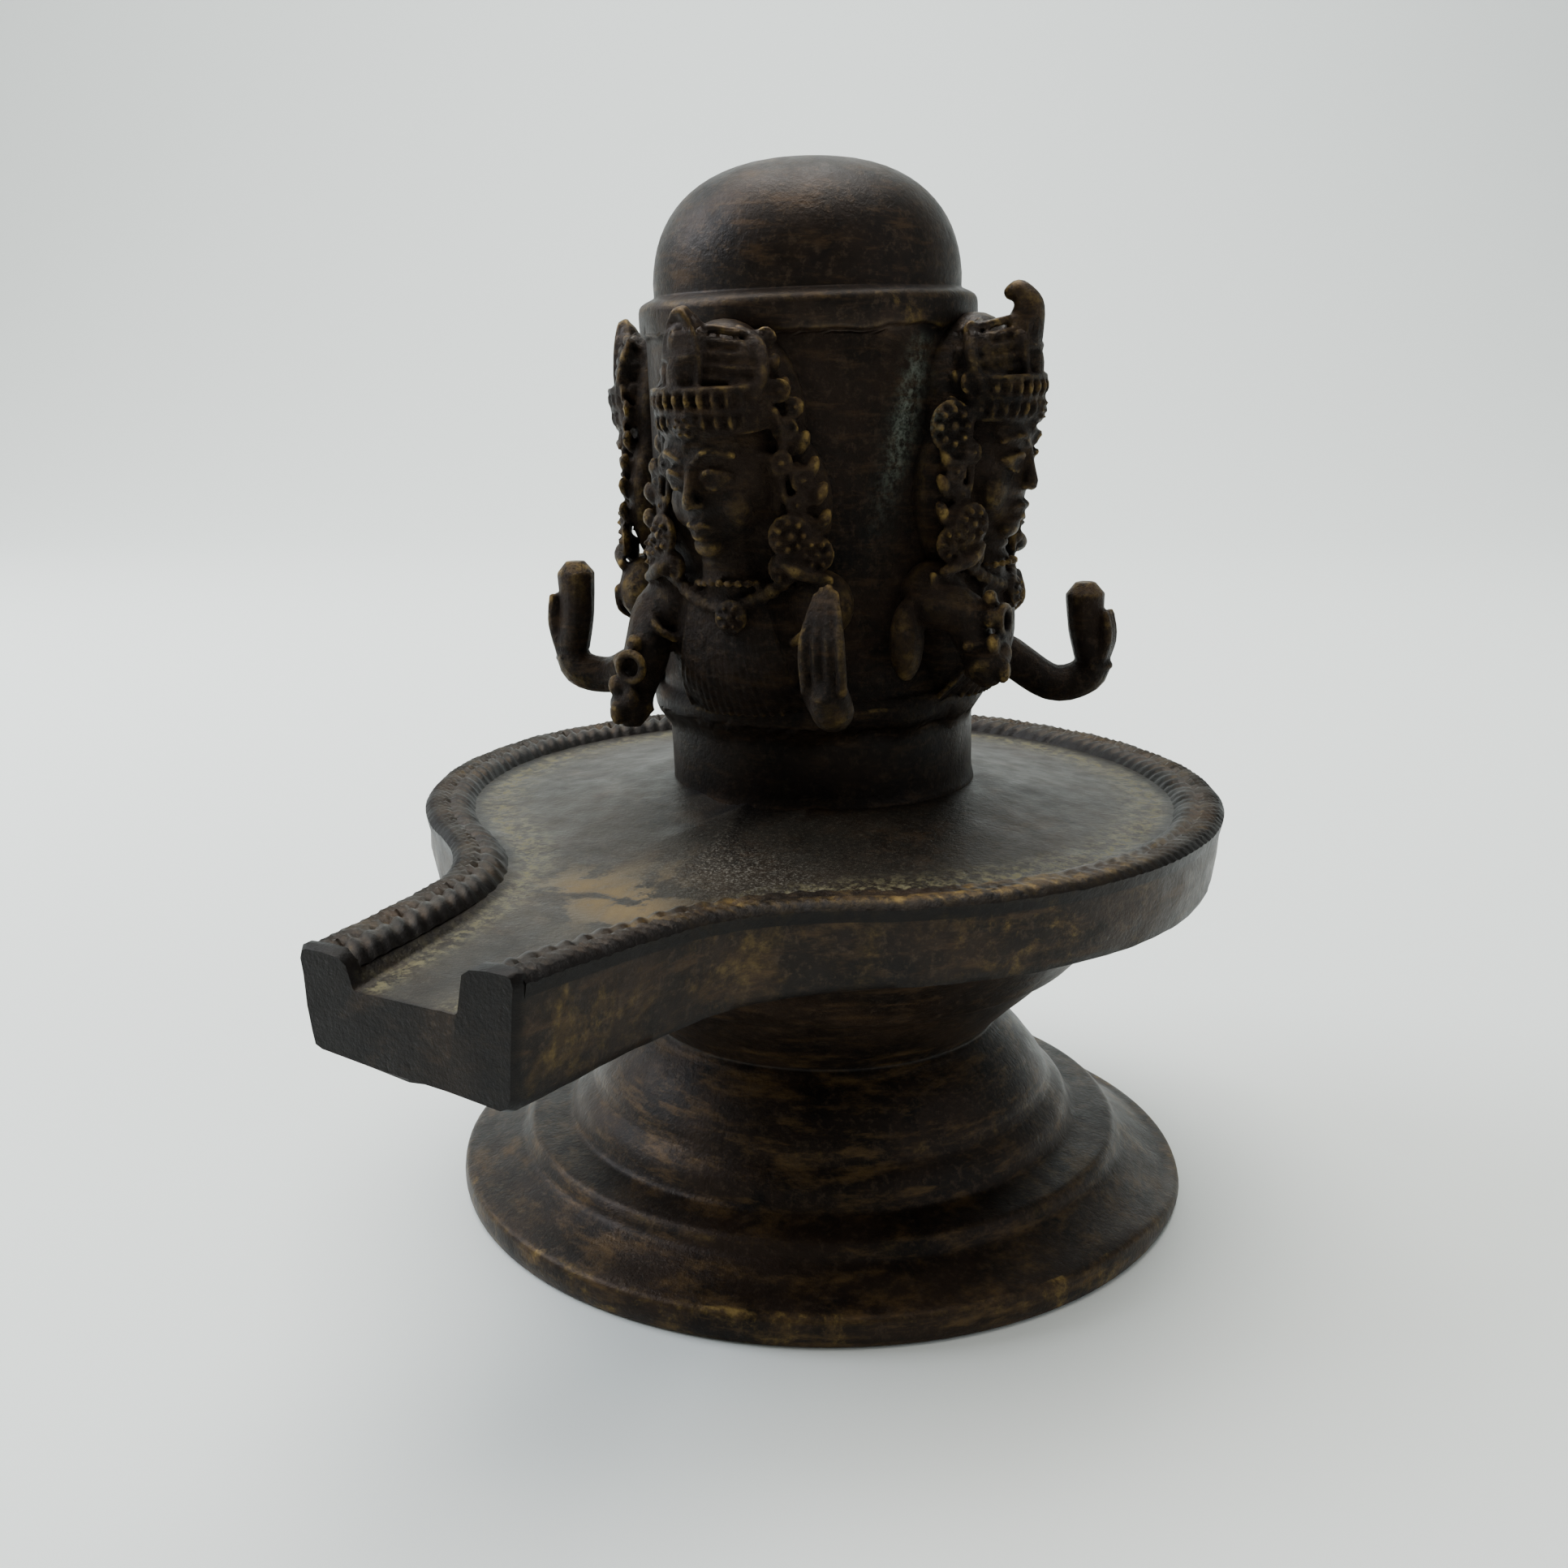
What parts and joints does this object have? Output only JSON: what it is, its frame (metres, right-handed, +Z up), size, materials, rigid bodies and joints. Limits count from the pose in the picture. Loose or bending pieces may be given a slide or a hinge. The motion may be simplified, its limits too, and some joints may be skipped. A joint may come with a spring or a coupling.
{
  "type": "shiva lingam",
  "caption": "Bronze mukhalinga with crowned busts around its shaft, on a round spouted offering plate and a stepped turned foot.",
  "frame": {"origin": "middle of the foot's flat round underside, which rests on the floor", "axes": "+Z up along the foot's axis; -Y along the spout, towards its open end"},
  "size_m": [0.102, 0.1314, 0.1298],
  "materials": {
    "patinated_bronze": "cast bronze with a dark brown handled patina, rubbed to ochre on the edges"
  },
  "bodies": {
    "root": {"shiva_lingam": "patinated_bronze"}
  },
  "joints": []
}
